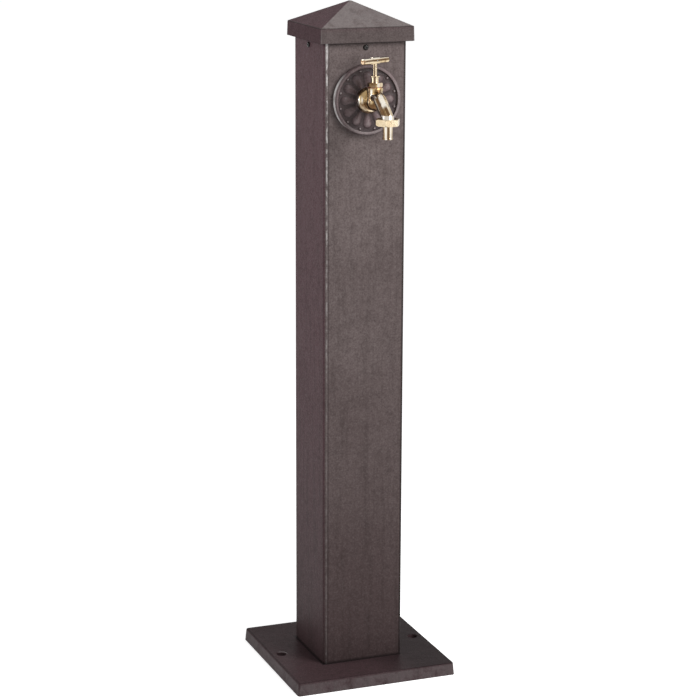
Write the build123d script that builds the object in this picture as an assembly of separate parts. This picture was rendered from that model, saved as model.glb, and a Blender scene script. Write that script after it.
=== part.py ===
from build123d import *
import os
from math import cos, pi, sin, sqrt, tan

# A garden standpipe: a square post on a ground plate, with a pyramid cap, a flower rosette and a brass tap.
# Millimetres, +Z up. The origin is the middle of the ground plate's underside, and the tap looks along -Y.

# Gaps and overruns that the pieces share
thread_gap = 0.08
running_gap = 0.1
slip_gap = 0.3
hole_gap = 0.4
cut_over = 1.0

# Post: a square tube
post_side = 123.0
post_wall = 3.0
post_corner = 5.0
post_length = 919.0

# Ground plate
plate_side = 245.6
plate_thickness = 18.5
plate_draft = 1.5
plate_corner = 4.0
plate_edge = 2.0
anchor_inset = 17.4
anchor_radius = 7.0
anchor_rim = 1.2

# Foot plate welded in the post's lower end, and the screws that hold it down
foot_thickness = 8.0
foot_screw_inset = 16.0
foot_screw_radius = 4.0
foot_head_radius = 6.5
foot_head_height = 8.0
foot_head_sink = 1.0

# Cap: a square lid with a band, a pyramid roof and a collar that reaches down inside the post
band_overhang = 8.3
band_height = 20.4
band_draft = 0.6
band_lap = 8.0
roof_rise = 31.8
roof_wall = 5.0
roof_tip = 3.0
cap_edge = 1.0
collar_wall = 4.0
collar_drop = 17.0

# Cap screws, one in the middle of each side
cap_screw_radius = 2.5
cap_screw_below_band = 7.5
cap_screw_head_radius = 3.9
cap_screw_head_height = 2.4
cap_screw_key_radius = 1.5
cap_screw_key_depth = 1.3
head_round_share = 0.8

# Rosette: a round cast plate on the front of the post
tap_below_post_end = 87.5
rosette_radius = 49.0
rosette_thickness = 10.0
rosette_rim_width = 4.5
rosette_rim_round = 2.2
rosette_field_sink = 3.4
petal_count = 12
petal_reach = 42.0
petal_radius = 8.6
petal_root = 12.0
petal_root_radius = 5.4
petal_sink = 5.4
bead_ring_radius = 41.6
bead_radius = 2.4
bead_sink = 0.6

# Wall flange: the tap's domed cover, a hollow shell
flange_radius = 18.5
flange_skirt = 2.0
flange_dome_radius = 13.0
flange_nose_radius = 11.5
flange_wall = 2.2

# Tap body
shank_radius = 10.47
shank_reach_inside = 22.0
shank_bore = 6.5
shoulder_radius = 12.4
shoulder_thickness = 2.5
barrel_radius = 10.0
spindle_reach = 35.0
chamber_radius = 12.0
neck_radius = 11.0
body_collar_radius = 11.5
body_collar_height = 6.0
body_collar_rise = 14.6
body_edge = 0.8
chamber_bore = 8.0
seat_rise = 4.0
seat_bore = 4.5
seat_feed_drop = 2.5
seat_feed_radius = 4.4
outlet_reach = 83.0
spout_radius = 9.2
spout_foot_radius = 8.2
spout_bore = 6.0
outlet_bore = 5.4
spout_rise = 7.0
spout_level_run = 16.6
spout_bend = 20.0
spout_drop = 15.2
outlet_thread_radius = 13.2
outlet_thread_length = 3.6
outlet_mouth_drop = 20.8

# Bonnet, the headwork screwed into the body
bonnet_thread_radius = 9.0
bonnet_skirt = 7.6
bonnet_hex = 19.0
bonnet_hex_height = 6.0
bonnet_shelf = 1.0
bonnet_shelf_above_collar = 0.4
gasket_thickness = 0.8
packing_height = 4.0
gland_neck_radius = 5.0
gland_neck_shown = 7.3
gland_flange_radius = 6.5
gland_flange_height = 2.0

# Spindle, tee handle and its pin
stem_radius = 2.75
stem_shown = 15.6
spindle_thread_radius = 4.0
valve_lift = 4.0
bar_length = 50.5
bar_radius = 4.2
bar_end_round = 1.0
hub_radius = 5.0
hub_length = 13.0
hub_edge = 0.6
bar_angle = 25.9
pin_radius = 1.1
stem_past_pin = 2.4

# Jumper valve with its washer and nut
jumper_disc_radius = 6.4
jumper_disc_height = 2.0
jumper_stem_radius = 2.4
jumper_stem_length = 6.0
jumper_stud_radius = 1.5
jumper_stud_length = 2.6
washer_radius = 6.6
washer_height = 2.5
stud_nut_hex = 5.0
stud_nut_height = 2.0

# Union nut, its washer and the hose tail
union_hex = 30.0
union_height = 9.2
union_web = 1.9
tail_radius = 6.9
tail_bore = 4.9
tail_length = 20.8
tail_flange_radius = 12.6
tail_flange_height = 1.9
tail_bead_radius = 7.4
tail_bead_height = 2.4
union_washer_height = 1.4
nut_corner_share = 0.05

# Pipe inside the post
pipe_radius = 10.65
pipe_bore = 8.0
riser_reach = 32.0
elbow_radius = 13.6
elbow_bore = 7.0
elbow_feed_bore = 5.8
elbow_ball_radius = 14.3
elbow_leg = 28.0
pipe_entry = 14.0
shank_entry = 9.0
shank_washer_radius = 17.0
shank_washer_thickness = 1.5
lock_nut_hex = 27.0
lock_nut_thickness = 6.0
socket_radius = 14.0
socket_start = 2.0
socket_thread_length = 12.0
socket_thread_radius = 9.3
plate_pipe_hole = 16.0

# Places worked out from the sizes
post_base = plate_thickness
post_end = post_base + post_length
post_inside = post_side / 2 - post_wall
tap_height = post_end - tap_below_post_end
front_wall = Plane(origin=(0, -post_side / 2, tap_height), x_dir=(1, 0, 0), z_dir=(0, -1, 0))
side_view = Plane(origin=(0, -post_side / 2, tap_height), x_dir=(0, -1, 0), z_dir=(-1, 0, 0))
band_side = post_side + 2 * band_overhang
band_base = post_end - band_lap
eave = band_base + band_height
spindle_y = -post_side / 2 - spindle_reach
outlet_y = -post_side / 2 - outlet_reach
riser_y = -post_side / 2 + riser_reach
seat_z = tap_height + seat_rise
body_collar_base = tap_height + body_collar_rise
body_collar_top = body_collar_base + body_collar_height
mouth_z = tap_height - outlet_mouth_drop


def upright(radius, low, high, y=0.0, x=0.0):
    """A round solid on an upright axis, between two heights."""
    return Pos(x, y, (low + high) / 2) * Cylinder(radius, high - low)


def bore(radius, low, high, y=0.0, x=0.0):
    """A round cutter that runs past both heights."""
    return upright(radius, low - cut_over, high + cut_over, y, x)


def ring(radius, hole_radius, low, high, y=0.0):
    """An upright ring or tube."""
    return upright(radius, low, high, y) - bore(hole_radius, low, high, y)


def square_block(side, low, high, corner=0.0):
    """An upright square block, with round corners where a radius is given."""
    outline = RectangleRounded(side, side, corner) if corner else Rectangle(side, side)
    return Pos(0, 0, low) * extrude(outline, high - low)


def crossed(width, outline):
    """A block with one outline from the front and the side, given as half-width and height pairs."""
    right = [(half, height) for half, height in outline]
    left = [(-half, height) for half, height in reversed(outline)]
    face = make_face(Polyline(*right, *left, close=True))
    front = extrude(Plane.XZ * face, width, both=True)
    return front & Rot(0, 0, 90) * front


def hexagon(across, low, high, y=0.0, turn=0.0):
    """An upright hexagonal nut blank whose corners are turned down."""
    corner_radius = across / sqrt(3)
    flats = Pos(0, y, low) * Rot(0, 0, turn) * extrude(RegularPolygon(corner_radius, 6), high - low)
    turned = upright(corner_radius, low, high, y)
    turned = chamfer(turned.edges().filter_by(GeomType.CIRCLE), across * nut_corner_share)
    return flats & turned


def outward(radius, near, far):
    """A round solid on the tap's inlet axis, between two distances in front of the post."""
    return front_wall * Pos(0, 0, (near + far) / 2) * Cylinder(radius, far - near)


def round_sweep(radius, line):
    """A round solid along a line that bends."""
    first = Plane(origin=line @ 0, z_dir=line % 0)
    return sweep(first * Circle(radius), path=line)


# Ground plate

def base_plate():
    """Cast square plate with a drafted edge, two anchor holes and the pipe hole."""
    half = plate_side / 2
    plate = crossed(plate_side, [(half, 0), (half - plate_draft, plate_thickness)])
    corners = plate.edges().filter_by(lambda edge: abs(edge.tangent_at(0.5).Z) > 0.5)
    plate = fillet(corners, plate_corner)
    plate = fillet(plate.faces().sort_by(Axis.Z)[-1].edges(), plate_edge)
    anchor_x = plate_side / 2 - anchor_inset
    for side in (-1, 1):
        hole = bore(anchor_radius, 0, plate_thickness, x=side * anchor_x)
        rim = Pos(side * anchor_x, 0, plate_thickness - anchor_rim / 2)
        rim = rim * Cone(anchor_radius, anchor_radius + anchor_rim, anchor_rim)
        plate = plate - hole - rim
    plate -= bore(plate_pipe_hole, 0, plate_thickness, riser_y)
    recess = foot_head_height + foot_head_sink
    for x, y in foot_screw_places():
        plate -= bore(foot_screw_radius + hole_gap, 0, plate_thickness, y, x)
        plate -= upright(foot_head_radius + hole_gap, -cut_over, recess, y, x)
    return plate


def foot_screw_places():
    """The four places of the screws under the post, inside its corners."""
    place = post_inside - foot_screw_inset
    return [(side * place, end * place) for side in (-1, 1) for end in (-1, 1)]


def foot_plate():
    """Steel plate welded in the post's lower end, with threaded holes for the base screws."""
    corner = max(post_corner - post_wall, hole_gap)
    plate = square_block(2 * post_inside, post_base, post_base + foot_thickness, corner)
    for x, y in foot_screw_places():
        plate -= bore(foot_screw_radius + thread_gap, post_base, post_base + foot_thickness, y, x)
    return plate - bore(socket_radius + slip_gap, post_base, post_base + foot_thickness, riser_y)


def base_screws():
    """Four cap-head screws, put in from below, that hold the foot plate on the ground plate."""
    screws = []
    for x, y in foot_screw_places():
        head_top = foot_head_sink + foot_head_height
        head = upright(foot_head_radius, foot_head_sink, head_top, y, x)
        key_top = foot_head_sink + foot_head_height / 2
        key = upright(foot_head_radius / 2, foot_head_sink - cut_over, key_top, y, x)
        shank = upright(foot_screw_radius, head_top, post_base + foot_thickness, y, x)
        screws.append(head - key + shank)
    return screws


# Post

def post():
    """Square tube with a hole for the tap's shank and one for each cap screw."""
    tube = square_block(post_side, post_base, post_end, post_corner)
    corner = max(post_corner - post_wall, hole_gap)
    tube -= square_block(2 * post_inside, post_base - cut_over, post_end + cut_over, corner)
    tube -= outward(shank_radius + hole_gap, -post_wall - cut_over, cut_over)
    for turn in (0, 90, 180, 270):
        tube -= cap_screw_bore(turn, cap_screw_radius + slip_gap, post_wall + slip_gap / 2)
    return tube


def cap_screw_bore(turn, radius, depth):
    """A round cutter on the axis of the cap screw on one side, to a depth inside the post's face."""
    height = band_base - cap_screw_below_band
    across = Rot(0, 0, turn) * Pos(0, -post_side / 2 + (depth - cut_over) / 2, height) * Rot(90, 0, 0)
    return across * Cylinder(radius, depth + cut_over)


# Cap

def cap():
    """Cast lid: band, pyramid roof, a recess over the post's end and a collar inside the post."""
    eave_half = band_side / 2 - band_draft
    outline = [(band_side / 2, band_base), (eave_half, eave), (roof_tip / 2, eave + roof_rise)]
    lid = crossed(band_side, outline)
    lid = fillet(lid.edges().filter_by(lambda edge: edge.center().Z > band_base + cap_edge), cap_edge)
    collar_side = 2 * (post_inside - slip_gap)
    collar_corner = max(post_corner - post_wall, hole_gap)
    collar = square_block(collar_side, band_base - collar_drop, post_end + cut_over, collar_corner)
    recess = square_block(post_side + 2 * slip_gap, band_base - cut_over, post_end, post_corner)
    lid = lid - recess + collar
    room_half = collar_side / 2 - collar_wall
    room_top = eave - roof_wall
    peak = room_top + (roof_rise - roof_wall) * room_half / eave_half
    collar_end = band_base - collar_drop
    room = [(room_half, collar_end - cut_over), (room_half, room_top), (roof_tip / 2, peak)]
    lid -= crossed(band_side, room)
    for turn in (0, 90, 180, 270):
        depth = post_wall + slip_gap + collar_wall + cut_over
        lid -= cap_screw_bore(turn, cap_screw_radius + thread_gap, depth)
    return lid


def cap_screws():
    """Four round-headed screws that go through the post into the cap's collar."""
    screws = []
    for turn in (0, 90, 180, 270):
        depth = post_wall + slip_gap + collar_wall
        shank = cap_screw_bore(turn, cap_screw_radius, depth)
        shank &= square_block(post_side, post_base, post_end)
        height = band_base - cap_screw_below_band
        face = Rot(0, 0, turn) * Pos(0, -post_side / 2, height) * Rot(90, 0, 0)
        head = Pos(0, 0, cap_screw_head_height / 2) * Cylinder(cap_screw_head_radius, cap_screw_head_height)
        brim = head.edges().filter_by(GeomType.CIRCLE).sort_by(Axis.Z)[-1]
        head = fillet(brim, cap_screw_head_height * head_round_share)
        key = Pos(0, 0, cap_screw_head_height - cap_screw_key_depth)
        head -= key * extrude(RegularPolygon(cap_screw_key_radius, 6), cap_screw_key_depth + cut_over)
        screws.append(shank + face * head)
    return screws


# Rosette

def rosette():
    """Round cast plate: a rounded rim, a sunken field, swelling petals and a bead between each pair."""
    plate = Pos(0, 0, rosette_thickness / 2) * Cylinder(rosette_radius, rosette_thickness)
    plate = fillet(plate.edges().filter_by(GeomType.CIRCLE).sort_by(Axis.Z)[-1], rosette_rim_round)
    field_radius = rosette_radius - rosette_rim_width
    field_height = rosette_thickness - rosette_field_sink
    plate -= Pos(0, 0, rosette_thickness) * Cylinder(field_radius, 2 * rosette_field_sink)
    for number in range(petal_count):
        turn = -90 + 360 * number / petal_count
        plate += Rot(0, 0, turn) * Pos(0, 0, field_height - petal_sink) * petal()
    for number in range(petal_count):
        turn = -90 + 360 * (number + 0.5) / petal_count
        plate += Rot(0, 0, turn) * Pos(bead_ring_radius, 0, field_height - bead_sink) * Sphere(bead_radius)
    hub_height = rosette_thickness
    plate += Pos(0, 0, hub_height / 2) * Cylinder(flange_radius, hub_height)
    plate &= Pos(0, 0, rosette_thickness / 2) * Cylinder(rosette_radius, rosette_thickness)
    plate -= Cylinder(shank_radius + hole_gap, 2 * (rosette_thickness + cut_over))
    return front_wall * plate


def petal():
    """A drop-shaped body of revolution that lies along +X, wide end outwards."""
    wide_x = petal_reach - petal_radius
    slope_sin = (petal_radius - petal_root_radius) / (wide_x - petal_root)
    slope_cos = sqrt(1 - slope_sin * slope_sin)
    root_up = (petal_root - petal_root_radius * slope_sin, petal_root_radius * slope_cos)
    wide_up = (wide_x - petal_radius * slope_sin, petal_radius * slope_cos)
    tip_middle = (wide_x + petal_radius * cos(pi / 4), petal_radius * sin(pi / 4))
    side = [Line((petal_root, 0), root_up), Line(root_up, wide_up)]
    side += [ThreePointArc(wide_up, tip_middle, (petal_reach, 0)), Line((petal_reach, 0), (petal_root, 0))]
    return revolve(make_face(side), Axis.X)


# Tap

def flange_depth():
    """How far the domed cover's nose stands in front of the rosette."""
    over = flange_nose_radius - (flange_radius - flange_dome_radius)
    return flange_skirt + sqrt(flange_dome_radius ** 2 - over ** 2)


def dome_outline(radius, dome_radius, nose_radius, start, skirt):
    """Half the outline of a domed cap on the turning axis: radius sideways, distance upwards."""
    centre = radius - dome_radius
    nose_rise = sqrt(dome_radius ** 2 - (nose_radius - centre) ** 2)
    middle_side = centre + dome_radius * cos(pi / 6)
    middle_rise = dome_radius * sin(pi / 6)
    brim = (radius, skirt)
    nose = (nose_radius, skirt + nose_rise)
    dome = ThreePointArc(brim, (middle_side, skirt + middle_rise), nose)
    rest = Polyline(nose, (0, skirt + nose_rise), (0, start), (radius, start), brim)
    return make_face([dome, *rest.edges()])


def wall_flange():
    """Hollow brass cover, domed towards the tap, that lies on the rosette."""
    outer = revolve(Plane.XZ * dome_outline(flange_radius, flange_dome_radius, flange_nose_radius,
                                            0, flange_skirt), Axis.Z)
    inner = revolve(Plane.XZ * dome_outline(flange_radius - flange_wall, flange_dome_radius - flange_wall,
                                            flange_nose_radius, -cut_over, flange_skirt), Axis.Z)
    shell = outer - inner - Cylinder(shank_radius + slip_gap, 4 * flange_depth())
    return front_wall * Pos(0, 0, rosette_thickness) * shell


def spout_tube(radius, foot_radius, start):
    """A round solid along the spout: level, a bend, a tapered slope and a ball where it turns down."""
    knee = (spindle_reach + spout_level_run, spout_rise)
    foot = (outlet_reach, -spout_drop)
    line = FilletPolyline((start, spout_rise), knee, foot, radius=spout_bend)
    runs = line.edges().sort_by(Axis.X)
    tube = round_sweep(radius, side_view * (runs[0] + runs[1]))
    slope = side_view * runs[2]
    upper, lower = sorted([slope @ 0, slope @ 1], key=lambda end: -end.Z)
    down = lower - upper
    taper = Plane(origin=(upper + lower) / 2, z_dir=down) * Cone(radius, foot_radius, down.length)
    return tube + taper + Pos(0, outlet_y, tap_height - spout_drop) * Sphere(foot_radius)


def tap_body():
    """Brass casting: inlet shank, shoulder, barrel, valve chamber, collar, spout and outlet thread."""
    nose = rosette_thickness + flange_depth()
    shoulder_end = nose + shoulder_thickness
    body = outward(shank_radius, -post_wall - shank_reach_inside, nose + shoulder_thickness / 2)
    body += outward(shoulder_radius, nose, shoulder_end)
    body += outward(barrel_radius, nose, spindle_reach)
    body += Pos(0, spindle_y, tap_height) * Sphere(chamber_radius)
    body += upright(neck_radius, tap_height, body_collar_base + body_collar_height / 2, spindle_y)
    collar = upright(body_collar_radius, body_collar_base, body_collar_top, spindle_y)
    body += chamfer(collar.edges().filter_by(GeomType.CIRCLE), body_edge)
    body += spout_tube(spout_radius, spout_foot_radius, spindle_reach)
    thread_top = mouth_z + outlet_thread_length
    body += upright(spout_foot_radius, mouth_z, tap_height - spout_drop, outlet_y)
    body += upright(outlet_thread_radius, mouth_z, thread_top, outlet_y)
    body -= upright(outlet_thread_radius, mouth_z - spout_radius, mouth_z, outlet_y)
    return body - tap_waterway()


def tap_waterway():
    """The hollow of the tap body: inlet, seat, chamber with the bonnet's thread, and the spout's bore."""
    nose = rosette_thickness + flange_depth()
    feed = outward(shank_bore, -post_wall - shank_reach_inside - cut_over, nose)
    feed += front_wall * Pos(0, -seat_feed_drop, (nose + spindle_reach - seat_bore) / 2) * Cylinder(
        seat_feed_radius, spindle_reach - nose + seat_bore)
    feed += upright(seat_bore, tap_height - seat_feed_drop, seat_z + cut_over, spindle_y)
    chamber = upright(chamber_bore, seat_z, body_collar_top + cut_over, spindle_y)
    chamber += upright(bonnet_thread_radius + thread_gap, body_collar_top - bonnet_skirt,
                       body_collar_top + cut_over, spindle_y)
    outlet = spout_tube(spout_bore, outlet_bore, spindle_reach + chamber_bore - cut_over / 2)
    outlet += upright(outlet_bore, mouth_z - cut_over, tap_height - spout_drop, outlet_y)
    return feed + chamber + outlet


# Headwork

def packing_floor():
    """Height of the shelf that carries the packing."""
    return body_collar_top + bonnet_shelf_above_collar


def hex_top():
    """Height of the top of the bonnet's hexagon."""
    return body_collar_top + gasket_thickness + bonnet_hex_height


def gland_top():
    """Height of the top of the gland nut's flange."""
    return hex_top() + gland_neck_shown + gland_flange_height


def bonnet():
    """Threaded skirt and hexagon, with the spindle's thread below a shelf and the packing above it."""
    hex_base = body_collar_top + gasket_thickness
    shelf = packing_floor()
    skirt_base = body_collar_top - bonnet_skirt
    blank = upright(bonnet_thread_radius, skirt_base, hex_base + cut_over, spindle_y)
    blank += hexagon(bonnet_hex, hex_base, hex_top(), spindle_y, bar_angle)
    thread_radius = spindle_thread_radius + thread_gap
    thread = upright(thread_radius, skirt_base - cut_over, shelf - bonnet_shelf, spindle_y)
    stem_hole = upright(stem_radius + running_gap, skirt_base, hex_top(), spindle_y)
    packing_room = upright(gland_neck_radius + thread_gap, shelf, hex_top() + cut_over, spindle_y)
    return blank - thread - stem_hole - packing_room


def bonnet_gasket():
    """Fibre ring between the body's collar and the bonnet's hexagon."""
    top = body_collar_top + gasket_thickness
    return ring(bonnet_hex / 2, bonnet_thread_radius + thread_gap, body_collar_top, top, spindle_y)


def gland_packing():
    """Packing ring round the stem, pressed down by the gland nut."""
    floor = packing_floor()
    return ring(gland_neck_radius, stem_radius + running_gap, floor, floor + packing_height, spindle_y)


def gland_nut():
    """Threaded neck with a thin round flange at its top."""
    neck_base = packing_floor() + packing_height
    flange_base = gland_top() - gland_flange_height
    flange = upright(gland_flange_radius, flange_base, gland_top(), spindle_y)
    flange = chamfer(flange.edges().filter_by(GeomType.CIRCLE), gland_flange_height / 5)
    nut = upright(gland_neck_radius, neck_base, flange_base + cut_over / 2, spindle_y) + flange
    return nut - bore(stem_radius + running_gap, neck_base, gland_top(), spindle_y)


# Valve, drawn shut

def disc_top():
    """Height of the jumper's disc, which carries the spindle's lower end."""
    return seat_z + washer_height + jumper_disc_height


def jumper_valve():
    """Disc with a plain stem in the spindle and a stud for the washer below."""
    disc_base = seat_z + washer_height
    valve = upright(jumper_disc_radius, disc_base, disc_top(), spindle_y)
    valve += upright(jumper_stem_radius, disc_top(), disc_top() + jumper_stem_length, spindle_y)
    return valve + upright(jumper_stud_radius, seat_z - jumper_stud_length, disc_base, spindle_y)


def tap_washer():
    """Rubber washer that closes the seat."""
    return ring(washer_radius, jumper_stud_radius + thread_gap, seat_z, seat_z + washer_height, spindle_y)


def washer_nut():
    """Small nut on the stud, below the washer."""
    nut = hexagon(stud_nut_hex, seat_z - stud_nut_height, seat_z, spindle_y)
    return nut - bore(jumper_stud_radius + thread_gap, seat_z - stud_nut_height, seat_z, spindle_y)


# Spindle and handle

def bar_height():
    """Height of the tee handle's bar."""
    return gland_top() + stem_shown + hub_radius


def spindle():
    """Thread that stops short of the bonnet's shelf when open, bored for the jumper, and a plain stem."""
    foot = disc_top()
    thread_top = packing_floor() - bonnet_shelf - slip_gap - valve_lift
    rod = upright(spindle_thread_radius, foot, thread_top, spindle_y)
    rod += upright(stem_radius, foot, bar_height() + stem_past_pin, spindle_y)
    rod -= upright(jumper_stem_radius + running_gap, foot - cut_over,
                   foot + jumper_stem_length + slip_gap, spindle_y)
    return rod - handle_cross(pin_radius + thread_gap)


def handle_cross(radius):
    """A round solid across the bar, through the hub and the stem."""
    across = Pos(0, spindle_y, bar_height()) * Rot(0, 0, bar_angle) * Rot(90, 0, 0)
    return across * Cylinder(radius, 2 * hub_radius)


def tee_handle():
    """Cross bar with rounded ends and a thicker hub, bored from below for the stem."""
    along = Pos(0, spindle_y, bar_height()) * Rot(0, 0, bar_angle) * Rot(0, 90, 0)
    bar = Cylinder(bar_radius, bar_length)
    bar = fillet(bar.edges().filter_by(GeomType.CIRCLE), bar_end_round)
    hub = Cylinder(hub_radius, hub_length)
    hub = chamfer(hub.edges().filter_by(GeomType.CIRCLE), hub_edge)
    handle = along * (bar + hub)
    handle -= upright(stem_radius + thread_gap, bar_height() - 2 * hub_radius,
                      bar_height() + stem_past_pin, spindle_y)
    return handle - handle_cross(pin_radius + thread_gap)


def handle_pin():
    """Cross pin that holds the handle on the stem, trimmed to the hub's round."""
    along = Pos(0, spindle_y, bar_height()) * Rot(0, 0, bar_angle) * Rot(0, 90, 0)
    return handle_cross(pin_radius) & along * Cylinder(hub_radius, hub_length)


# Outlet

def union_base():
    """Height of the union nut's lower face."""
    return mouth_z - union_washer_height - tail_flange_height - union_web


def union_nut():
    """Hexagonal nut that draws the hose tail's flange up against the outlet."""
    low = union_base()
    nut = hexagon(union_hex, low, low + union_height, outlet_y)
    nut -= bore(tail_radius + slip_gap, low, low + union_height, outlet_y)
    thread_end = low + union_height + cut_over
    return nut - upright(outlet_thread_radius + running_gap, low + union_web, thread_end, outlet_y)


def hose_tail():
    """Smooth pipe with a flange held by the nut and a small bead at its mouth."""
    flange_base = union_base() + union_web
    flange_top = flange_base + tail_flange_height
    low = flange_base - tail_length
    pipe = upright(tail_radius, low, flange_base, outlet_y)
    pipe += upright(tail_flange_radius, flange_base, flange_top, outlet_y)
    bead = upright(tail_bead_radius, low, low + tail_bead_height, outlet_y)
    pipe += fillet(bead.edges().filter_by(GeomType.CIRCLE), (tail_bead_radius - tail_radius) * 0.9)
    return pipe - bore(tail_bore, low, flange_top, outlet_y)


def union_washer():
    """Rubber washer between the tail's flange and the outlet's mouth."""
    low = mouth_z - union_washer_height
    return ring(tail_flange_radius, outlet_bore, low, mouth_z, outlet_y)


# Pipework inside the post

def shank_washer():
    """Steel washer between the post's wall and the lock nut."""
    far = -post_wall - shank_washer_thickness
    washer = outward(shank_washer_radius, far, -post_wall)
    return washer - outward(shank_radius + hole_gap, far - cut_over, 0)


def lock_nut():
    """Thin hexagonal nut that clamps the tap through the wall."""
    near = -post_wall - shank_washer_thickness
    far = near - lock_nut_thickness
    corner_radius = lock_nut_hex / sqrt(3)
    nut = front_wall * Pos(0, 0, far) * extrude(RegularPolygon(corner_radius, 6), lock_nut_thickness)
    return nut - outward(shank_radius + thread_gap, far - cut_over, near + cut_over)


def inlet_elbow():
    """Brass elbow: one socket on the tap's shank, the other over the riser pipe."""
    mouth = -post_wall - shank_reach_inside + shank_entry
    leg_end = tap_height - elbow_leg
    elbow = outward(elbow_radius, -riser_reach, mouth)
    elbow += Pos(0, riser_y, tap_height) * Sphere(elbow_ball_radius)
    elbow += upright(elbow_radius, leg_end, tap_height, riser_y)
    elbow -= upright(elbow_bore, leg_end, tap_height + elbow_bore, riser_y)
    elbow -= outward(shank_radius + thread_gap, mouth - shank_entry, mouth + cut_over)
    elbow -= outward(elbow_feed_bore, -riser_reach, mouth)
    return elbow - upright(pipe_radius + thread_gap, leg_end - cut_over, leg_end + pipe_entry, riser_y)


def riser_pipe():
    """Steel pipe that brings the water up the post."""
    low = socket_start + socket_thread_length
    high = tap_height - elbow_leg + pipe_entry
    return ring(pipe_radius, pipe_bore, low, high, riser_y)


def inlet_socket():
    """Socket at the riser's foot, threaded below for the supply pipe."""
    step = socket_start + socket_thread_length
    high = step + pipe_entry
    socket = upright(socket_radius, socket_start, high, riser_y)
    socket -= upright(socket_thread_radius, socket_start - cut_over, step, riser_y)
    socket -= upright(pipe_bore, socket_start, high, riser_y)
    return socket - upright(pipe_radius + thread_gap, step, high + cut_over, riser_y)


# Write each piece to its own file

pieces = dict(
    base_plate=base_plate(), base_screws=base_screws(), foot_plate=foot_plate(), post=post(),
    cap=cap(), cap_screws=cap_screws(), rosette=rosette(),
    wall_flange=wall_flange(), tap_body=tap_body(), shank_washer=shank_washer(), lock_nut=lock_nut(),
    bonnet=bonnet(), bonnet_gasket=bonnet_gasket(), gland_packing=gland_packing(), gland_nut=gland_nut(),
    spindle=spindle(), tee_handle=tee_handle(), handle_pin=handle_pin(),
    jumper_valve=jumper_valve(), tap_washer=tap_washer(), washer_nut=washer_nut(),
    union_nut=union_nut(), union_washer=union_washer(), hose_tail=hose_tail(),
    inlet_elbow=inlet_elbow(), riser_pipe=riser_pipe(), inlet_socket=inlet_socket(),
)

os.makedirs("parts", exist_ok=True)
for name, piece in pieces.items():
    solid = Compound(children=list(piece)) if isinstance(piece, list) else piece
    export_step(solid, "parts/" + name + ".step")
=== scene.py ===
import bpy
import bmesh
from math import cos, radians, sin
from mathutils import Matrix, Vector


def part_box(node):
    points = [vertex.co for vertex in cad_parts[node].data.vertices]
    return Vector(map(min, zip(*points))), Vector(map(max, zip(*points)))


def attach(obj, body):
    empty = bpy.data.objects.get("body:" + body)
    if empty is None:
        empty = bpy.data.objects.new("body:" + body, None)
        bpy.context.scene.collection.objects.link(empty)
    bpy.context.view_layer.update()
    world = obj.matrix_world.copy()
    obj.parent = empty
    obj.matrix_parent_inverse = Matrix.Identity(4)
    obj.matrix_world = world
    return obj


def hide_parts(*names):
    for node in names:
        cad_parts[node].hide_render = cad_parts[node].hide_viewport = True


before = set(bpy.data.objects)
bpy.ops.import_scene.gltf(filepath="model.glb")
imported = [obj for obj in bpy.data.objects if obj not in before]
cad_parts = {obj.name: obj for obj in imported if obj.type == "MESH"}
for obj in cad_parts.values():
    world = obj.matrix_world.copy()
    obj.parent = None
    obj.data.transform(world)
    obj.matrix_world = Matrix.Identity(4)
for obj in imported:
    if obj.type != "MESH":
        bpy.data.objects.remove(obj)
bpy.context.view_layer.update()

# Ground plate: a square iron casting with two anchor holes, laid on the ground.
# It has the same dark brown textured coat as the post, the rosette and the cap:
# sprayed over a rough skin, so it is speckled and pitted. Its top is painted darker, as shade, and its
# sides paler.


class Value:
    """A socket of a finish. Sums written with it become the finish's own maths."""

    def __init__(self, finish, socket):
        self.finish = finish
        self.socket = socket

    def maths(self, operation, first, second=None):
        values = [value for value in (first, second) if value is not None]
        return self.finish.add("Math", {"operation": operation}, dict(enumerate(values)))

    def __add__(self, other):
        return self.maths("ADD", self, other)

    def __radd__(self, other):
        return self.maths("ADD", other, self)

    def __sub__(self, other):
        return self.maths("SUBTRACT", self, other)

    def __rsub__(self, other):
        return self.maths("SUBTRACT", other, self)

    def __mul__(self, other):
        return self.maths("MULTIPLY", self, other)

    def __rmul__(self, other):
        return self.maths("MULTIPLY", other, self)

    def __truediv__(self, other):
        return self.maths("DIVIDE", self, other)

    def size(self):
        return self.maths("ABSOLUTE", self)

    def root(self):
        return self.maths("SQRT", self)

    def least(self, other):
        return self.maths("MINIMUM", self, other)

    def most(self, other):
        return self.maths("MAXIMUM", self, other)

    def between(self, low, high):
        """Nought at low, one at high, held outside them."""
        return ((self - low) / (high - low)).least(1.0).most(0.0)

    def near(self, place, reach):
        """One at a place, nought a reach away from it."""
        return self.within(place, reach, 0.0)

    def within(self, place, outer, inner):
        """One up to inner away from a place, nought from outer away."""
        return (self - place).size().between(outer, inner)


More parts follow.
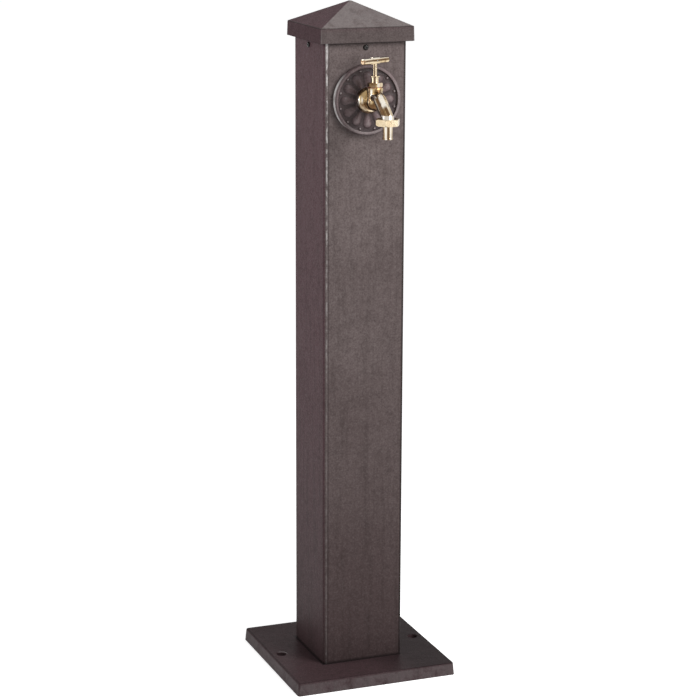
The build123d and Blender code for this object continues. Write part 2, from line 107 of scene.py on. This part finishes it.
class Finish:
    """A material under the brush. Every node comes from add()."""

    def __init__(self, name, owner=None):
        self.material = owner or bpy.data.materials.new(name)
        self.material.use_nodes = True
        self.tree = self.material.node_tree
        self.tree.nodes.clear()

    def add(self, kind, settings, inputs, output=0):
        node = self.tree.nodes.new("ShaderNode" + kind)
        for name, value in settings.items():
            setattr(node, name, value)
        for name, value in inputs.items():
            if isinstance(value, Value):
                self.tree.links.new(value.socket, node.inputs[name])
            else:
                node.inputs[name].default_value = value
        return Value(self, node.outputs[output]) if len(node.outputs) else None

    def place(self):
        return self.add("TexCoord", {}, {}, "Object")

    def axes(self):
        """The three coordinates of the place, in metres."""
        parts = self.add("SeparateXYZ", {}, {"Vector": self.place()})
        return [Value(self, parts.socket.node.outputs[axis]) for axis in "XYZ"]

    def noise(self, per_metre, detail=3.0, roughness=0.55, drawn=(1.0, 1.0, 1.0)):
        """Cloudy noise, drawn out along an axis where drawn is under one."""
        place = self.add("Mapping", {}, {"Vector": self.place(), "Scale": drawn})
        inputs = {"Vector": place, "Scale": per_metre, "Detail": detail, "Roughness": roughness}
        return self.add("TexNoise", {}, inputs, "Fac")

    def cells(self, per_metre):
        """The distance from scattered points."""
        return self.add("TexVoronoi", {}, {"Vector": self.place(), "Scale": per_metre}, "Distance")

    def colours(self, amount, first, second):
        """The second colour laid over the first, by an amount."""
        first = first if isinstance(first, Value) else (*first, 1.0)
        second = second if isinstance(second, Value) else (*second, 1.0)
        return self.add("Mix", {"data_type": "RGBA"}, {0: amount, 6: first, 7: second}, 2)

    def relief(self, height, depth):
        """A bump, its depth in metres."""
        return self.add("Bump", {}, {"Height": height, "Distance": depth})

    def shade(self, inputs):
        """The last coat: the shader itself, laid on the surface."""
        shader = self.add("BsdfPrincipled", {}, inputs)
        self.add("OutputMaterial", {}, {"Surface": shader})
        return self.material


def dress(node, material):
    """Gives a carried-over piece its finish."""
    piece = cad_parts[node]
    for place in range(len(piece.material_slots)):
        piece.material_slots[place].material = material
    if not piece.material_slots:
        piece.data.materials.append(material)


coat_brown = (0.118, 0.092, 0.090)
coat_pale = (0.152, 0.122, 0.119)
coat_dark = (0.032, 0.023, 0.022)
# coat_low and coat_black are painted shade colours; coat_plum is the redder painted shade of shaded sides
# and the rosette's own tone; coat_bright is wear and painted highlights.
coat_low = (0.050, 0.031, 0.032)
coat_plum = (0.130, 0.060, 0.076)
coat_worn = (0.34, 0.31, 0.30)
coat_bright = (0.92, 0.89, 0.88)
coat_black = (0.010, 0.008, 0.008)
dark_below = 0.93


def cast_coat(name, edges, shade_and_dark_lines, wear_and_highlight_level, sheen, sides=None, dim=0.0, gloss=0.0, depth=1.0,
              low_colour=coat_low):
    """The dark coat. Its three masks say where it is paler (wear and painted highlights), darker (painted
    shade and dark lines) and redder (on the post and the cap, painted shade), as one there.
    """
    finish = Finish(name)
    z = finish.axes()[2]
    clouds = finish.noise(7.0, 3.0)
    mottle = finish.noise(75.0, 5.0, 0.65)
    speckle = finish.noise(430.0, 4.0, 0.66)
    streaks = finish.noise(150.0, 4.0, 0.6, (1.0, 1.0, 0.045))
    pits = finish.cells(170.0).between(0.13, 0.03) * finish.noise(24.0, 2.0).between(0.47, 0.62)
    # Painted shade: the coat darkens towards the bottom, as the light falls off, and dim lays that shade
    # over the whole piece.
    depth_down = z.between(dark_below, 0.0)
    low = depth_down * depth_down * (1.0 - dim) + dim
    colour = finish.colours(clouds.between(0.35, 0.68), coat_brown, coat_pale)
    # On the post and the cap the redder sides are painted shade; on the rosette this is its own tone.
    if sides:
        colour = finish.colours(sides(finish) * 0.70, colour, coat_plum)
    colour = finish.colours(low * 0.90, colour, low_colour)
    colour = finish.colours(mottle.between(0.46, 0.74) * 0.30, colour, coat_dark)
    colour = finish.colours(streaks.between(0.48, 0.72) * (0.20 + 0.30 * low), colour, coat_dark)
    colour = finish.colours(speckle.between(0.50, 0.70) * 0.44, colour, coat_dark)
    colour = finish.colours(speckle.between(0.48, 0.28) * (0.16 - 0.08 * low), colour, coat_worn)
    colour = finish.colours(pits * 0.8, colour, coat_dark)
    # Painted shade, and a few dark lines, in near black.
    colour = finish.colours(shade_and_dark_lines(finish) * 0.80, colour, coat_black)
    # Paler marks: wear, and painted highlights.
    wear_and_highlight = edges(finish) * finish.noise(40.0, 4.0, 0.7).between(0.28, 0.52)
    colour = finish.colours(wear_and_highlight * wear_and_highlight_level, colour, coat_bright)
    rough = 0.42 - gloss + speckle * 0.16 + mottle * 0.10 - wear_and_highlight * 0.12
    orange_peel = finish.noise(380.0, 4.0, 0.6) * 0.42
    grit = finish.noise(1500.0, 2.0) * 0.20
    skin = orange_peel + grit + finish.noise(60.0, 3.0) * 0.9
    normal = finish.relief(skin - pits * 0.8, 0.0005 * depth)
    inputs = {"Base Color": colour, "Roughness": rough, "Normal": normal}
    return finish.shade(inputs | {"IOR": 1.5, "Specular IOR Level": sheen})


plate_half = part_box("base_plate")[1][0]
plate_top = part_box("base_plate")[1][2]
post_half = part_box("post")[1][0]
# plate_plum: the plate's painted shade colour, laid over nearly all of its top.
plate_plum = (0.052, 0.0275, 0.0320)
anchor_reach = 0.1054
anchor_rim = 0.0076


def plate_sides_and_glint(finish):
    """The plate's four sides, paler than its top, and a painted glint on the rim of one anchor hole."""
    x, y, z = finish.axes()
    inward = plate_half - x.size().most(y.size())
    below = plate_top - z
    paler_sides = inward.between(0.0022, 0.0012) * below.between(0.0005, 0.0030)
    from_hole = ((x + anchor_reach) * (x + anchor_reach) + y * y).root()
    rim = from_hole.near(anchor_rim, 0.0011) * (x + anchor_reach + y).between(0.002, 0.007)
    return (paler_sides * 0.058).most(rim * 0.7 * below.between(0.0004, 0.0001))


def plate_shade_and_edge_line(finish):
    """Painted shade round the foot of the post and on the far right, and a dark line just inside the
    upper edge.
    """
    x, y, z = finish.axes()
    rim = x.size().most(y.size())
    top = (plate_top - z).between(0.0014, 0.0004)
    edge = rim.near(plate_half - 0.0034, 0.0016) * 0.65
    far = x.between(0.0, 0.070) * 0.85
    foot = rim.between(post_half + 0.0040, post_half + 0.0004)
    return foot.most(edge).most(far) * top


dress("base_plate", cast_coat("coat on the ground plate", plate_sides_and_glint, plate_shade_and_edge_line,
                              wear_and_highlight_level=0.9, sheen=0.02, dim=0.92, gloss=0.14, low_colour=plate_plum))

# Foot plate and base screws: zinc-plated steel, out of sight in the post and under the plate.
# The foot plate is welded into the tube, and four cap screws draw it down from below.


def plated_steel(name):
    """Zinc-plated steel, a little clouded and scratched."""
    finish = Finish(name)
    bloom = finish.noise(90.0, 4.0, 0.6)
    scratches = finish.noise(700.0, 3.0, 0.6, (1.0, 1.0, 0.08))
    colour = finish.colours(bloom.between(0.3, 0.7), (0.46, 0.46, 0.45), (0.30, 0.29, 0.27))
    rough = 0.26 + bloom * 0.22 + scratches * 0.08
    normal = finish.relief(finish.noise(1200.0, 2.0) + scratches * 0.5, 0.00008)
    return finish.shade({"Base Color": colour, "Metallic": 1.0, "Roughness": rough, "Normal": normal})


zinc_plate = plated_steel("zinc plate")
dress("foot_plate", zinc_plate)
dress("base_screws", zinc_plate)

# Post: a square steel tube with rounded corners, closed by the cap, under the same coat.
# Two of its corners carry painted highlights, and the other two painted shade, with painted shade at its
# foot.
# Its three sides other than the front are painted redder and darker, as shade.

band_base = 0.9295


def from_corner(finish):
    """How far in from the post's sides a place is, across and along, and the product of x and y."""
    x, y, z = finish.axes()
    return post_half - x.size(), post_half - y.size(), x * y


def post_highlights(finish):
    """Painted highlights on two corners: a bright patch under the cap, and dashes lower down that fade
    out.
    """
    z = finish.axes()[2]
    across, along, product = from_corner(finish)
    wide = across.near(0.0038, 0.0024) * z.between(0.893, 0.913) * 0.80
    dashes = finish.noise(160.0, 3.0, 0.6, (1.0, 1.0, 0.6)).between(0.46, 0.60)
    dashes = dashes * (0.06 + 0.34 * z.between(0.35, 0.70) + 0.40 * z.between(0.72, 0.80))
    narrow = across.near(0.0040, 0.0017) * (0.04 + dashes)
    return product.between(0.0, 0.0005) * along.between(0.0020, 0.0010) * wide.most(narrow)


def post_shade(finish):
    """Painted shade: a dark reflection beside the highlit corners, the other two corners, the foot, and
    under the cap's band.
    """
    z = finish.axes()[2]
    across, along, product = from_corner(finish)
    line = product.between(0.0, 0.0005) * along.between(0.0016, 0.0004)
    line = line * across.near(0.0066, 0.0014) * 0.6
    rounding = (across + along).between(0.0050, 0.0039) * product.between(0.0, -0.0005) * 0.9
    foot = z.between(plate_top + 0.0045, plate_top + 0.0005)
    under_band = (z - band_base).between(-0.0040, -0.0003) * 0.9
    return foot.most(under_band).most(line).most(rounding)


def post_shaded_sides(finish):
    """Painted shade, redder and darker: every side but the front."""
    return (finish.axes()[1] + post_half).between(0.0006, 0.0020)


dress("post", cast_coat("coat on the post", post_highlights, post_shade,
                        wear_and_highlight_level=0.85, sheen=0.03, sides=post_shaded_sides, gloss=0.08))

# Pipework: a galvanised riser with a socket at the ground and a brass elbow behind the wall.
# All of it is inside the post. The elbow and the lock nut are the tap's own brass.

dress("riser_pipe", zinc_plate)
dress("inlet_socket", zinc_plate)
dress("shank_washer", zinc_plate)

# brass_white is for painted highlights, brass_brown for painted dark reflections and random tarnish, and
# brass_pale for paler brass.
brass_gold = (0.50, 0.355, 0.175)
brass_pale = (0.72, 0.60, 0.42)
brass_white = (0.97, 0.93, 0.84)
brass_brown = (0.105, 0.050, 0.021)


def polished_brass(name, dark_reflections=None, highlights=None, roughness=0.11, wave=1.0, pale=0.0):
    """Cast brass, polished by hand. Its two masks say where dark reflections are painted brown on it, and
    where highlights are painted near white.
    """
    finish = Finish(name)
    cloud = finish.noise(48.0, 3.0, 0.5)
    tarnish = finish.noise(125.0, 4.0, 0.60)
    # pale lays the paler brass over the whole piece: painted light, for the pieces that the lamps show
    # brightest.
    colour = finish.colours(cloud.between(0.44, 0.58) * (1.0 - pale) + pale, brass_gold, brass_pale)
    colour = finish.colours(tarnish.between(0.53, 0.62) * (0.62 - 0.42 * pale), colour, brass_brown)
    rough = roughness + tarnish * 0.10
    if dark_reflections:
        brown = dark_reflections(finish)
        colour = finish.colours(brown * 0.92, colour, brass_brown)
        rough = rough + brown * 0.10
    if highlights:
        colour = finish.colours(highlights(finish) * 0.88, colour, brass_white)
    height = cloud * wave + finish.noise(300.0, 2.0) * 0.14
    normal = finish.relief(height, 0.0006)
    return finish.shade({"Base Color": colour, "Metallic": 1.0, "Roughness": rough, "Normal": normal})


turned_brass = polished_brass("turned brass", wave=0.4)
dress("inlet_elbow", turned_brass)
dress("lock_nut", turned_brass)

# Rosette: a round iron casting behind the tap, with a raised rim, twelve petals and twelve beads.
# It has the post's coat, a little glossier, with painted shade in its hollows and painted highlights on
# its tops.


def cast_skin(node, name, grain, passes, material, body):
    """A casting's skin: the piece's own shape with its corners softened, as a sand mould leaves them."""
    shape = bmesh.new()
    shape.from_mesh(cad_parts[node].data)
    bmesh.ops.remove_doubles(shape, verts=shape.verts, dist=0.000005)
    mesh = bpy.data.meshes.new(name)
    shape.to_mesh(mesh)
    shape.free()
    piece = bpy.data.objects.new(name, mesh)
    bpy.context.scene.collection.objects.link(piece)
    sand = piece.modifiers.new("sand", "REMESH")
    sand.mode = "VOXEL"
    sand.voxel_size = grain
    sand.use_smooth_shade = True
    soften = piece.modifiers.new("soften", "SMOOTH")
    soften.factor = 0.5
    soften.iterations = passes
    piece.data.materials.append(material)
    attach(piece, body)
    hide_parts(node)


rosette_low, rosette_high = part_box("rosette")
rosette_front = rosette_low[1]
rosette_middle = (rosette_low[2] + rosette_high[2]) / 2
rosette_radius = (rosette_high[2] - rosette_low[2]) / 2
bead_ring = 0.0414


def on_rosette(finish):
    """Across, depth behind the front, distance from the middle, and how far to the lower right."""
    x, y, z = finish.axes()
    up = z - rosette_middle
    return x, y - rosette_front, (x * x + up * up).root(), x - up


def rosette_highlights(finish):
    """Painted highlights: petal tops and rim, most at the lower right, glints on the beads, and the rim's
    left side.
    """
    x, depth, from_middle, lower_right = on_rosette(finish)
    inward = rosette_radius - from_middle
    lit = lower_right.between(-0.020, 0.020)
    rim = inward.near(0.0022, 0.0014) * (0.04 + 0.05 * lit)
    edge = inward.between(0.0012, 0.0004) * depth.between(0.0090, 0.0074)
    left_glint = edge * x.between(-0.030, -0.044) * depth.between(0.0008, 0.0024)
    beads = from_middle.near(bead_ring, 0.0014) * depth.between(0.0023, 0.0016) * 0.34
    petals = depth.between(0.0012, 0.0) * (0.01 + 0.09 * lit)
    return petals.most(rim).most(left_glint).most(beads)


def rosette_shade(finish):
    """Painted shade: between the petals, darker at the upper left, inside the rim, and at its root."""
    x, depth, from_middle, lower_right = on_rosette(finish)
    inward = rosette_radius - from_middle
    inside = inward.between(0.0038, 0.0048)
    groove = depth.between(0.0014, 0.0030) * 0.80
    root = inward.between(0.0010, 0.0) * depth.between(0.0060, 0.0095)
    line = inward.near(0.0048, 0.0009) * 0.8
    outline = inward.near(0.0018, 0.0011) * x.between(-0.020, -0.036) * 0.7
    upper_left = lower_right.between(0.006, -0.030) * 0.42
    return (inside * groove.most(upper_left)).most(root).most(line).most(outline)


def rosette_sides(finish):
    """The rosette is a little redder all over."""
    return 0.45


rosette_coat = cast_coat("coat on the rosette", rosette_highlights, rosette_shade,
                         wear_and_highlight_level=0.95, sheen=0.16, sides=rosette_sides, gloss=0.17, depth=0.5)
cast_skin("rosette", "rosette_casting", 0.0005, 3, rosette_coat, "standpipe")

# Wall flange: a spun brass dome over the tap's shank, polished bright.
# Its top and its underside are painted brown as dark reflections, with a bright band left between them,
# and painted highlights on its left side and in front.

tap_height = rosette_middle


def flange_dark_reflections(finish):
    """Painted dark reflections, brown: the top of the dome, and its underside on the left."""
    x, _, z = finish.axes()
    wander = (finish.noise(70.0, 3.0) - 0.5) * 0.010
    height = z - tap_height + wander
    top = height.between(0.0045, 0.0075)
    under = height.between(-0.0010, -0.0030) * height.between(-0.0135, -0.0105) * 0.7
    return (top * 0.35).most(under * x.between(-0.0178, -0.0168))


def flange_highlights(finish):
    """Painted highlights: the dome's left side, and a spot in front."""
    x, _, z = finish.axes()
    side = x.between(-0.0160, -0.0170) * z.within(tap_height + 0.0005, 0.0095, 0.0070)
    front = x.near(-0.0138, 0.0016) * z.near(tap_height + 0.0020, 0.0060)
    return side.most(front)


dress("wall_flange", polished_brass("brass of the flange", flange_dark_reflections, flange_highlights))

# Tap body: one brass casting of shank, chamber and spout, with its outlet thread turned on it.
# Its corners are soft from the mould, and its underside is painted brown as a dark reflection.

chamber_y = (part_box("spindle")[0][1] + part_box("spindle")[1][1]) / 2


def body_dark_reflections(finish):
    """Painted dark reflections, brown: the belly, a streak down the spout, its low bend, and the neck
    under the bonnet.
    """
    x, y, z = finish.axes()
    out = chamber_y - y
    wander = (finish.noise(80.0, 3.0) - 0.5) * 0.008
    belly = (z - tap_height + wander).between(0.0010, -0.0025) * out.between(0.016, 0.010)
    spout_streak = (x + wander * 0.2).within(-0.0070, 0.0024, 0.0013) * out.between(0.014, 0.019)
    side = x.within(-0.0102, 0.0010, 0.0005) * out.between(0.002, 0.004)
    low = out.between(0.037, 0.042)
    left = x.near(-0.0050, 0.0024) * low * 0.8
    right = x.between(0.0050, 0.0064) * out.between(0.030, 0.036) * 0.7
    bend = (x + wander * 0.3).within(-0.0014, 0.0026, 0.0014) * low
    neck = (z + wander * 0.3).within(tap_height + 0.0150, 0.0050, 0.0030)
    neck = neck * (x + wander).within(-0.0010, 0.0052, 0.0036) * 0.9
    return belly.most(spout_streak).most(side).most(left).most(right).most(bend).most(neck)


def body_highlights(finish):
    """Painted highlights: the chamber's left edge, streaks on the spout, its left side, and the collar.
    """
    x, y, z = finish.axes()
    out = chamber_y - y
    wander = (finish.noise(90.0, 3.0) - 0.5) * 0.004
    edge = (x + wander * 0.3).within(-0.0083, 0.0014, 0.0007) * out.between(0.005, 0.007)
    edge = edge * z.within(tap_height + 0.0140, 0.0060, 0.0035)
    upper = (x + wander).within(-0.0022, 0.0040, 0.0024)
    upper = upper * out.between(0.019, 0.023) * out.between(0.044, 0.040)
    lower = (x + wander * 0.3).within(0.0020, 0.0016, 0.0008) * out.between(0.036, 0.040)
    side = x.between(-0.0083, -0.0089) * out.between(0.010, 0.014) * 0.55
    collar = (z - tap_height).between(-0.0114, -0.0128) * out.between(0.042, 0.045) * 0.60
    return edge.most(upper * 0.85).most(lower * 0.45).most(side).most(collar)


body_brass = polished_brass("brass of the tap body", body_dark_reflections, body_highlights)
cast_skin("tap_body", "tap_casting", 0.0005, 10, body_brass, "standpipe")

# Tap top: bonnet on a fibre gasket, gland nut over its packing, and the valve inside.
# All are turned brass, and the valve closes on a rubber washer held by a small nut.


def soft_ring(name, colour):
    """A dull, grainy seal."""
    finish = Finish(name)
    grain = finish.noise(800.0, 3.0)
    shown = finish.colours(grain.between(0.3, 0.7), colour, [part * 0.6 for part in colour])
    rough = 0.75 + grain * 0.15
    return finish.shade({"Base Color": shown, "Roughness": rough, "Normal": finish.relief(grain, 0.0001)})


rubber = soft_ring("black rubber", (0.03, 0.03, 0.03))
fibre = soft_ring("red fibre", (0.35, 0.10, 0.06))
dress("bonnet_gasket", fibre)
dress("gland_packing", fibre)


def turned_dark_reflection(middle_x, half, side_y):
    """A painted dark reflection: a brown line down the front of a turned piece."""
    def line(finish):
        x, y, _ = finish.axes()
        return x.within(middle_x, half, half * 0.55) * y.between(side_y + 0.0004, side_y - 0.0004)
    return line


def bonnet_dark_reflection(finish):
    """A painted dark reflection, brown: the hexagon's front left face."""
    x, y, _ = finish.axes()
    face = x.between(-0.0016, -0.0034) * x.between(-0.0108, -0.0092)
    return face * y.between(chamber_y, chamber_y - 0.003) * 0.8


def bonnet_highlight(finish):
    """A painted highlight: a line down the hexagon's front."""
    x, y, _ = finish.axes()
    return x.within(0.0014, 0.0030, 0.0018) * y.between(chamber_y, chamber_y - 0.003) * 0.7


dress("bonnet", polished_brass("brass of the bonnet", bonnet_dark_reflection, bonnet_highlight, wave=0.8))
gland_reflection = turned_dark_reflection(-0.0022, 0.0015, chamber_y)
dress("gland_nut", polished_brass("brass of the gland nut", gland_reflection, wave=0.3, pale=0.9))
dress("jumper_valve", turned_brass)
dress("washer_nut", turned_brass)
dress("tap_washer", rubber)

# Spindle and handle: a thin turned brass stem, and a cross bar pinned on its top.
# The bar has a painted highlight along its top, and a brown line along its sides that is a painted dark
# reflection.

handle_low, handle_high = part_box("tee_handle")
handle_height = (handle_low[2] + handle_high[2]) / 2
handle_turn = (0.901, 0.434)  # cosine and sine of the bar's angle
handle_radius = (handle_high[2] - handle_low[2]) / 2
handle_end = (handle_high[0] - handle_radius * handle_turn[1]) / handle_turn[0]


def handle_dark_reflections(finish):
    """Painted dark reflections: the brown line along the bar's sides, just above its middle, and the
    brown of its left end.
    """
    x, y, z = finish.axes()
    wander = (finish.noise(60.0, 2.0) - 0.5) * 0.0010
    along = x * handle_turn[0] + (y - chamber_y) * handle_turn[1]
    line = (z + wander).within(handle_height + 0.0009, 0.0015, 0.0007)
    end = (along + handle_end).between(0.0007, 0.0002) * 0.8
    return line.most(end)


def handle_highlight(finish):
    """A painted highlight along the top of the bar."""
    return (finish.axes()[2] - handle_height).between(0.0022, 0.0034) * 0.8


spindle_reflection = turned_dark_reflection(-0.0016, 0.0009, chamber_y)
dress("spindle", polished_brass("brass of the spindle", spindle_reflection, roughness=0.10, wave=0.2, pale=0.8))
dress("tee_handle", polished_brass("brass of the handle", handle_dark_reflections, handle_highlight, wave=0.5, pale=0.35))
dress("handle_pin", zinc_plate)

# Hose union: a hexagon nut that draws the hose tail up to the outlet, on a rubber washer.
# The nut is a duller brass, painted pale as the light shows it. The tail is turned and polished, with
# painted dark reflections down its middle and sides.

outlet_y = (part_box("union_nut")[0][1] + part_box("union_nut")[1][1]) / 2
tail_front_reflection = turned_dark_reflection(-0.0016, 0.0020, outlet_y)


def tail_dark_reflections(finish):
    """Painted dark reflections, brown: the line down the front, and both sides."""
    x = finish.axes()[0]
    return tail_front_reflection(finish).most(x.between(-0.0058, -0.0066)).most(x.between(0.0044, 0.0054) * 0.8)


def tail_highlights(finish):
    """Painted highlights: two streaks, one each side of the brown line."""
    x, y, _ = finish.axes()
    streaks = x.within(-0.0046, 0.0012, 0.0006).most(x.within(0.0020, 0.0014, 0.0007))
    return streaks * y.between(outlet_y - 0.0004, outlet_y - 0.0012)


tail_brass = polished_brass("brass of the hose tail", tail_dark_reflections, tail_highlights,
                            roughness=0.10, wave=0.3, pale=0.6)
dress("union_nut", polished_brass("brass of the union nut", roughness=0.18, wave=0.4, pale=0.62))
dress("hose_tail", tail_brass)
dress("union_washer", rubber)

# Cap: a cast iron pyramid with a band that laps the post, held by four screws under the band.
# Its left slope is painted darker and redder, as shade, and the other three slopes paler, as light. The
# screws are blackened steel.

cap_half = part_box("cap")[1][0]
band_top = 0.9499


def on_roof(finish):
    """Across, along, one on the roof, and one on its left slope alone."""
    x, y, z = finish.axes()
    roof = (z - band_top).between(-0.0002, 0.0010)
    return x, y, roof, (y.size() + x).between(0.0, -0.0008) * roof


def cap_light_and_pale_edges(finish):
    """Paler: the hips and the band's corners, and painted light on the three slopes other than the left.
    """
    x, y, roof, _ = on_roof(finish)
    hips = (x.size() - y.size()).near(0.0, 0.0010) * x.size().between(0.004, 0.010) * roof
    corners = (cap_half - x.size()).between(0.0026, 0.0) * (cap_half - y.size()).between(0.0026, 0.0)
    lit_slopes = (x + y.size()).between(0.0, 0.0008) * roof
    return (hips * 0.5).most(corners).most(lit_slopes)


def cap_shade_and_dark_band(finish):
    """Painted shade where the roof meets the band and on the left slope; the whole band darker, with a
    dark line at its lower edge.
    """
    shaded_slope = on_roof(finish)[3] * 0.22
    z = finish.axes()[2]
    eave = z.near(band_top - 0.0002, 0.0013) * 0.90
    band = z.between(band_top + 0.0004, band_top - 0.0004) * 0.38
    return eave.most(z.between(band_base + 0.0016, band_base) * 0.7).most(band).most(shaded_slope)


def cap_shaded_sides(finish):
    """Painted shade, redder and darker: the left slope, and every side of the band but the front."""
    _, y, z = finish.axes()
    sides = (y + cap_half).between(0.0004, 0.0010) * z.between(band_top, band_top - 0.0006)
    return on_roof(finish)[3].most(sides)


dress("cap", cast_coat("coat on the cap", cap_light_and_pale_edges, cap_shade_and_dark_band, wear_and_highlight_level=0.072, sheen=0.02, sides=cap_shaded_sides))

black_screw = Finish("blackened screws")
grain = black_screw.noise(900.0, 3.0)
black_colour = black_screw.colours(grain.between(0.3, 0.7), (0.008, 0.007, 0.007), (0.028, 0.024, 0.023))
black_relief = black_screw.relief(grain, 0.0001)
black_inputs = {"Base Color": black_colour, "Roughness": 0.16 + grain * 0.14, "Normal": black_relief}
dress("cap_screws", black_screw.shade(black_inputs | {"Specular IOR Level": 0.2}))

# Studio: a plain pale floor and world. Both show white to the camera and in metal,
# and the floor keeps the standpipe's shadow. A strip lights it from the left, and soft boxes
# from the right and above.

floor_mesh = bpy.data.meshes.new("floor")
floor_shape = bmesh.new()
bmesh.ops.create_grid(floor_shape, x_segments=1, y_segments=1, size=40.0)
floor_shape.to_mesh(floor_mesh)
floor_shape.free()
floor = bpy.data.objects.new("floor", floor_mesh)
bpy.context.scene.collection.objects.link(floor)


def seen_directly(finish):
    """One for what the camera sees, itself or in metal and glass."""
    camera_ray = finish.add("LightPath", {}, {}, "Is Camera Ray")
    glossy_ray = finish.add("LightPath", {}, {}, "Is Glossy Ray")
    return camera_ray.most(glossy_ray).most(finish.add("LightPath", {}, {}, "Is Transmission Ray"))


white_floor = Finish("white floor")
matt = white_floor.add("BsdfDiffuse", {}, {"Color": (0.85, 0.85, 0.85, 1.0)})
glow = seen_directly(white_floor) * 0.68
lit = white_floor.add("Emission", {}, {"Color": (1.0, 1.0, 1.0, 1.0), "Strength": glow})
white_floor.add("OutputMaterial", {}, {"Surface": white_floor.add("AddShader", {}, {0: matt, 1: lit})})
floor.data.materials.append(white_floor.material)

studio_level = 0.40
bpy.context.scene.world = bpy.data.worlds.new("studio")
studio = Finish("studio", bpy.context.scene.world)
plain = studio.add("Background", {}, {"Color": (1.0, 1.0, 1.0, 1.0), "Strength": studio_level})
clear = studio.add("Background", {}, {"Color": (1.0, 1.0, 1.0, 1.0), "Strength": 1.0})
shown_world = studio.add("MixShader", {}, {0: seen_directly(studio), 1: plain, 2: clear})
studio.add("OutputWorld", {}, {"Surface": shown_world})


def soft_box(name, power, width, height, place, aim):
    """A rectangular lamp at a place, aimed at another."""
    light = bpy.data.lights.new(name, "AREA")
    light.shape = "RECTANGLE"
    light.size = width
    light.size_y = height
    light.energy = power
    box = bpy.data.objects.new(name, light)
    bpy.context.scene.collection.objects.link(box)
    box.location = place
    box.rotation_euler = (Vector(aim) - Vector(place)).to_track_quat("-Z", "Y").to_euler()


soft_box("strip on the left", 5.0, 0.22, 1.1, (-1.58, 0.34, 1.20), (0.0, 0.0, 0.85))
soft_box("soft box on the right", 21.0, 0.95, 1.3, (0.85, -1.50, 1.40), (0.0, 0.0, 0.85))
soft_box("soft box above", 12.0, 0.6, 0.5, (0.75, -1.05, 1.75), (0.0, 0.0, 0.90))

# Camera: at the photograph's viewing angle, 3.2 m away, turned and tilted to match its edges.

camera_yaw = radians(21.08)
camera_pitch = radians(13.75)
camera_roll = radians(0.23)
camera_distance = 3.246
camera_aim = Vector((0.0, 0.0, 0.5))
aim_right = 0.0018
aim_up = -0.0233
focal_share = 2229.0 / 700.0

level = cos(camera_pitch)
back = Vector((-sin(camera_yaw) * level, -cos(camera_yaw) * level, sin(camera_pitch)))
right = Vector((cos(camera_yaw), -sin(camera_yaw), 0.0))
up = back.cross(right)
camera_place = camera_aim + camera_distance * back + aim_right * right + aim_up * up
rolled_right = cos(camera_roll) * right + sin(camera_roll) * up
rolled_up = cos(camera_roll) * up - sin(camera_roll) * right
lens = bpy.data.cameras.new("camera")
lens.sensor_width = 36.0
lens.lens = 36.0 * focal_share
camera = bpy.data.objects.new("camera", lens)
bpy.context.scene.collection.objects.link(camera)
turn = Matrix((rolled_right, rolled_up, back)).transposed().to_4x4()
camera.matrix_world = Matrix.Translation(camera_place) @ turn
bpy.context.scene.camera = camera
bpy.context.scene.view_settings.view_transform = "Standard"
